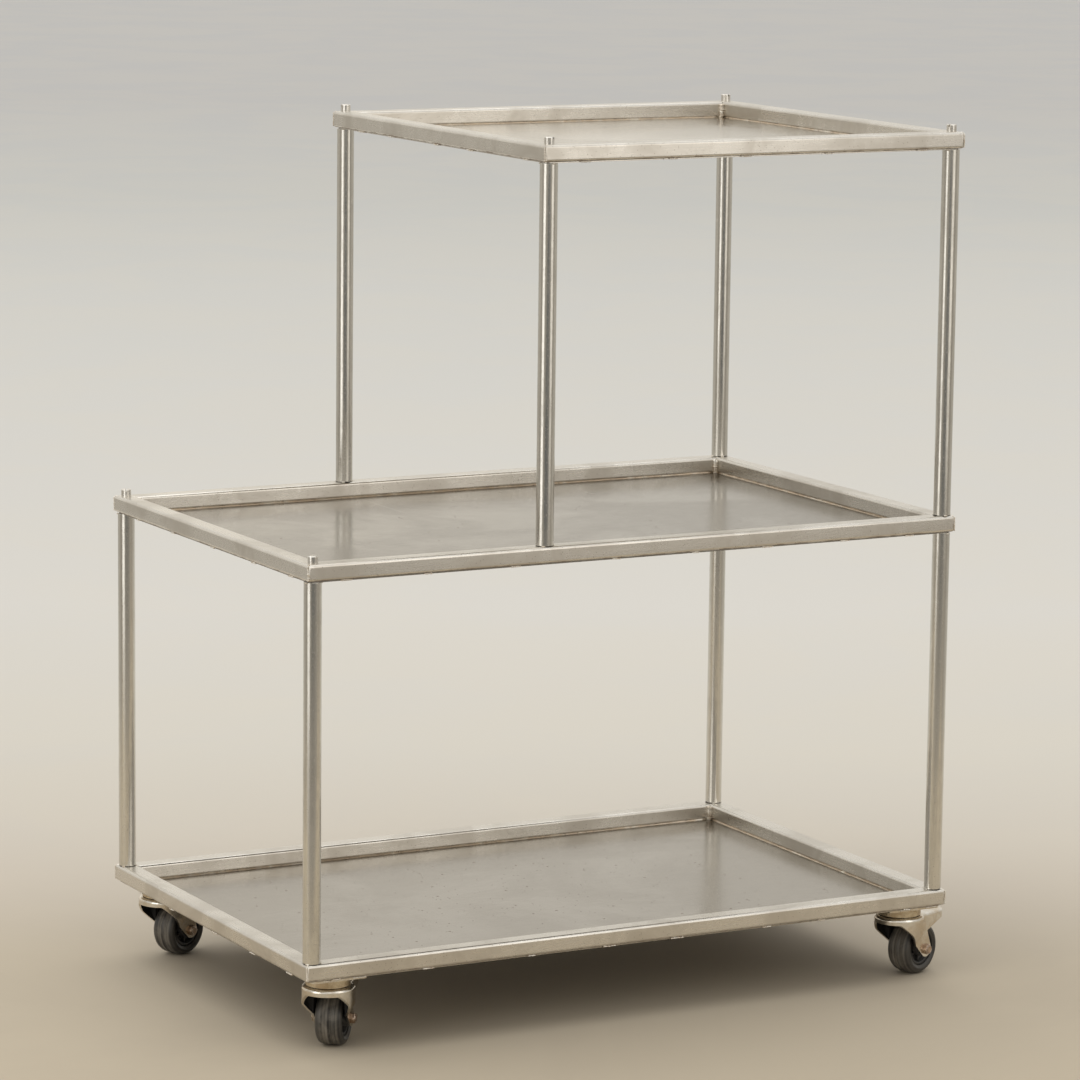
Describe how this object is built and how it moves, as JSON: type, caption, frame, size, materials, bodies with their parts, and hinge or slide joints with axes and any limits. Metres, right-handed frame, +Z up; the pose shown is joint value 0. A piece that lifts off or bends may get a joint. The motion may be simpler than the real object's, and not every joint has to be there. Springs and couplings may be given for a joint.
{
  "type": "serving trolley",
  "caption": "Two-level metal serving trolley with stepped trays of welded tube and sheet, round posts and small swivel casters.",
  "frame": {"origin": "on the floor under the wheels, at the middle of the box round the whole trolley", "axes": "+X along the long side, towards the end under the top tray; +Y to the rear; +Z up"},
  "size_m": [0.679, 0.426, 0.8016],
  "materials": {
    "rail_steel": "satin ground welded tube",
    "sheet_steel": "satin sheet with faint streaks and scuffs",
    "post_steel": "drawn tube, half bright",
    "plug_steel": "turned, unpolished",
    "screw_steel": "polished",
    "caster_nickel": "nickel plated, slightly worn",
    "race_zinc": "yellow passivated zinc",
    "ball_steel": "polished",
    "axle_zinc": "yellow passivated zinc",
    "tyre_rubber": "matt black rubber, dusty",
    "hub_plastic": "moulded, matt"
  },
  "bodies": {
    "frame": {"bottom_tray_front_rail": "rail_steel", "bottom_tray_rear_rail": "rail_steel", "bottom_tray_right_rail": "rail_steel", "bottom_tray_left_rail": "rail_steel", "bottom_tray_sheet": "sheet_steel", "middle_tray_front_rail": "rail_steel", "middle_tray_rear_rail": "rail_steel", "middle_tray_right_rail": "rail_steel", "middle_tray_left_rail": "rail_steel", "middle_tray_sheet": "sheet_steel", "top_tray_front_rail": "rail_steel", "top_tray_rear_rail": "rail_steel", "top_tray_right_rail": "rail_steel", "top_tray_left_rail": "rail_steel", "top_tray_sheet": "sheet_steel", "lower_front_left_post": "post_steel", "lower_rear_left_post": "post_steel", "lower_front_right_post": "post_steel", "lower_rear_right_post": "post_steel", "upper_front_left_post": "post_steel", "upper_rear_left_post": "post_steel", "upper_front_right_post": "post_steel", "upper_rear_right_post": "post_steel", "post_plugs": "plug_steel", "slotted_screws": "screw_steel", "flush_screws": "screw_steel", "joining_studs": "plug_steel", "front_left_caster_plate": "caster_nickel", "rear_left_caster_plate": "caster_nickel", "front_right_caster_plate": "caster_nickel", "rear_right_caster_plate": "caster_nickel", "race_rings": "race_zinc", "kingpins": "caster_nickel", "bearing_balls": "ball_steel"},
    "front_left_swivel_body": {"front_left_fork": "caster_nickel", "front_left_axle_sleeve": "plug_steel", "front_left_axle_bolt": "axle_zinc", "front_left_axle_nut": "axle_zinc"},
    "front_left_wheel_body": {"front_left_tyre": "tyre_rubber", "front_left_wheel_hub": "hub_plastic"},
    "rear_left_swivel_body": {"rear_left_fork": "caster_nickel", "rear_left_axle_sleeve": "plug_steel", "rear_left_axle_bolt": "axle_zinc", "rear_left_axle_nut": "axle_zinc"},
    "rear_left_wheel_body": {"rear_left_tyre": "tyre_rubber", "rear_left_wheel_hub": "hub_plastic"},
    "front_right_swivel_body": {"front_right_fork": "caster_nickel", "front_right_axle_sleeve": "plug_steel", "front_right_axle_bolt": "axle_zinc", "front_right_axle_nut": "axle_zinc"},
    "front_right_wheel_body": {"front_right_tyre": "tyre_rubber", "front_right_wheel_hub": "hub_plastic"},
    "rear_right_swivel_body": {"rear_right_fork": "caster_nickel", "rear_right_axle_sleeve": "plug_steel", "rear_right_axle_bolt": "axle_zinc", "rear_right_axle_nut": "axle_zinc"},
    "rear_right_wheel_body": {"rear_right_tyre": "tyre_rubber", "rear_right_wheel_hub": "hub_plastic"}
  },
  "joints": [
    {"name": "front_left_swivel", "type": "hinge", "parent": "frame", "child": "front_left_swivel_body", "pos_m": [-0.30403, -0.182, 0.0601], "axis": [0, 0, 1], "continuous": true},
    {"name": "front_left_roll", "type": "hinge", "parent": "front_left_swivel_body", "child": "front_left_wheel_body", "pos_m": [-0.29053, -0.16591, 0.025], "axis": [-0.766, 0.6428, 0], "continuous": true},
    {"name": "rear_left_swivel", "type": "hinge", "parent": "frame", "child": "rear_left_swivel_body", "pos_m": [-0.30403, 0.1795, 0.0601], "axis": [0, 0, 1], "continuous": true},
    {"name": "rear_left_roll", "type": "hinge", "parent": "rear_left_swivel_body", "child": "rear_left_wheel_body", "pos_m": [-0.28484, 0.18804, 0.025], "axis": [-0.4067, 0.9135, 0], "continuous": true},
    {"name": "front_right_swivel", "type": "hinge", "parent": "frame", "child": "front_right_swivel_body", "pos_m": [0.28997, -0.182, 0.0601], "axis": [0, 0, 1], "continuous": true},
    {"name": "front_right_roll", "type": "hinge", "parent": "front_right_swivel_body", "child": "front_right_wheel_body", "pos_m": [0.30958, -0.17447, 0.025], "axis": [-0.3584, 0.9336, 0], "continuous": true},
    {"name": "rear_right_swivel", "type": "hinge", "parent": "frame", "child": "rear_right_swivel_body", "pos_m": [0.28997, 0.1795, 0.0601], "axis": [0, 0, 1], "continuous": true},
    {"name": "rear_right_roll", "type": "hinge", "parent": "rear_right_swivel_body", "child": "rear_right_wheel_body", "pos_m": [0.30944, 0.18737, 0.025], "axis": [-0.3746, 0.9272, 0], "continuous": true}
  ]
}
